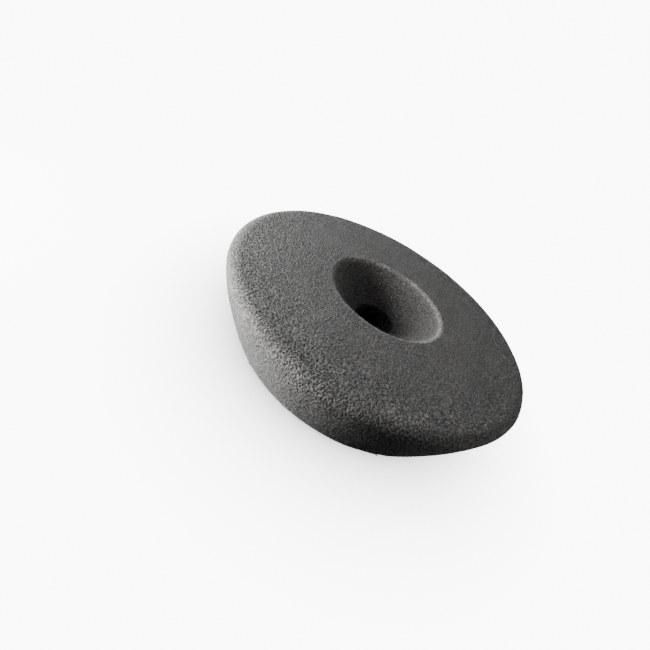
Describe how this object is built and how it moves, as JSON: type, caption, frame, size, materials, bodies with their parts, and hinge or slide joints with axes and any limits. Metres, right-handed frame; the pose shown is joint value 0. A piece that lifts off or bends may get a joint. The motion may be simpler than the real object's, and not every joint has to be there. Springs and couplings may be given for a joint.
{
  "type": "foam polishing pad",
  "caption": "Round charcoal foam polishing pad with tapered sides, a dished centre with a bore, and a white loop-fabric backing.",
  "frame": {"origin": "centre of the loop backing's underside, on the surface that the pad lies on", "axes": "+Z along the pad's axis, from the backing to the working face; X and Y are equal, as the pad is turned about Z"},
  "size_m": [0.09, 0.09, 0.02],
  "materials": {
    "foam": "matte",
    "film": "matte",
    "loop_fabric": "matte"
  },
  "bodies": {
    "root": {"foam_body": "foam", "adhesive_film": "film", "loop_backing": "loop_fabric"}
  },
  "joints": []
}
